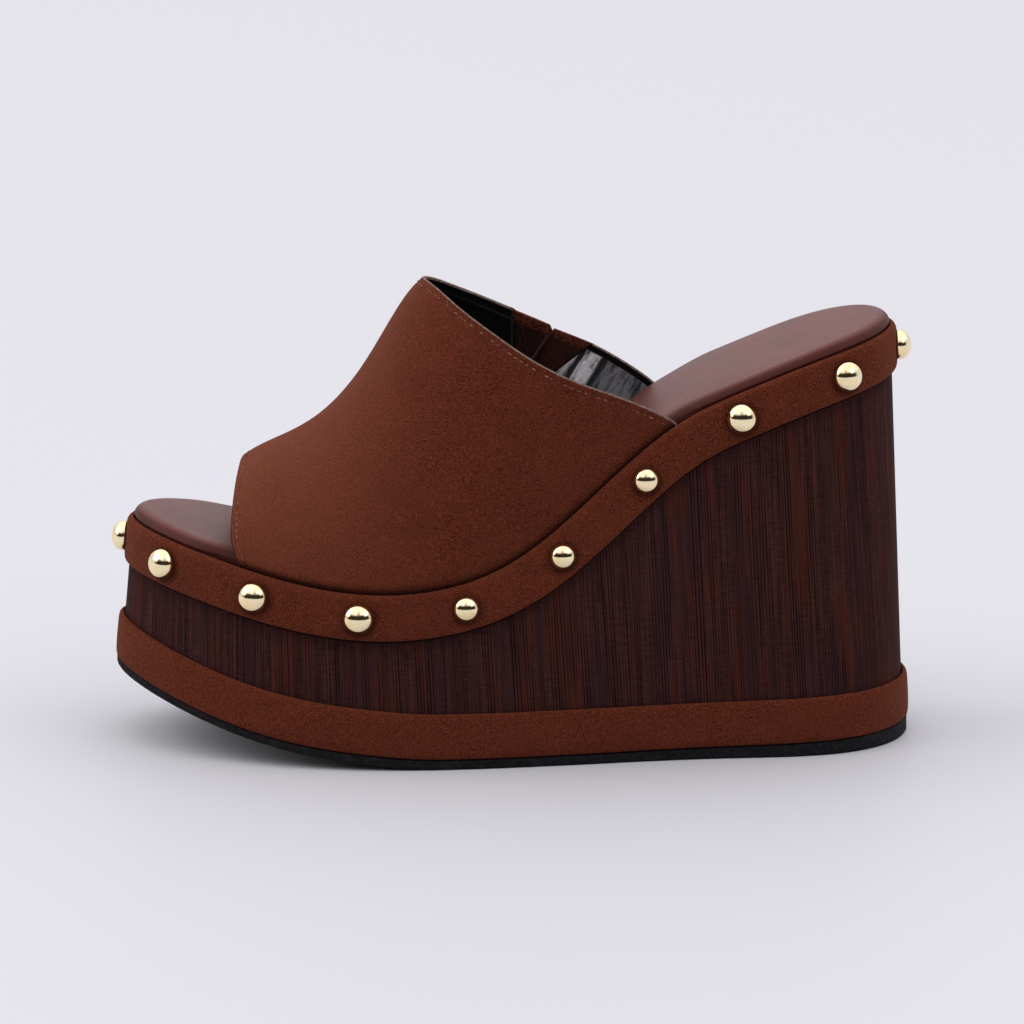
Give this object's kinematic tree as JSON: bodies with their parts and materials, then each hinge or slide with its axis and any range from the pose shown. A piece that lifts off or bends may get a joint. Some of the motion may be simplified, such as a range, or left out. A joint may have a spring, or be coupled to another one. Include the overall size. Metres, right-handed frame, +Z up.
{
  "type": "wedge mule",
  "caption": "Left open-toe wedge mule with a suede upper, elastic gore, studded strip, padded insole and rubber outsole.",
  "frame": {"origin": "on the floor under the middle of the shoe's length, in the plane of its flat ground face", "axes": "+Z up, +X from the toe to the heel, +Y to the inner side of the foot"},
  "size_m": [0.2392, 0.0969, 0.138],
  "materials": {
    "suede": "napped suede",
    "insole_leather": "smooth satin",
    "wrap": "stacked-look grain, satin",
    "rubber": "matte",
    "elastic": "woven elastic",
    "gilt": "polished"
  },
  "bodies": {
    "root": {"outsole": "rubber", "wedge": "wrap", "lower_strip": "suede", "upper_strip": "suede", "insole": "insole_leather", "upper": "suede", "gore": "elastic", "stud_01": "gilt", "stud_02": "gilt", "stud_03": "gilt", "stud_04": "gilt", "stud_05": "gilt", "stud_06": "gilt", "stud_07": "gilt", "stud_08": "gilt", "stud_09": "gilt", "stud_10": "gilt", "stud_11": "gilt", "stud_12": "gilt", "stud_13": "gilt", "stud_14": "gilt", "stud_15": "gilt", "stud_16": "gilt", "stud_17": "gilt", "stud_18": "gilt"}
  },
  "joints": []
}
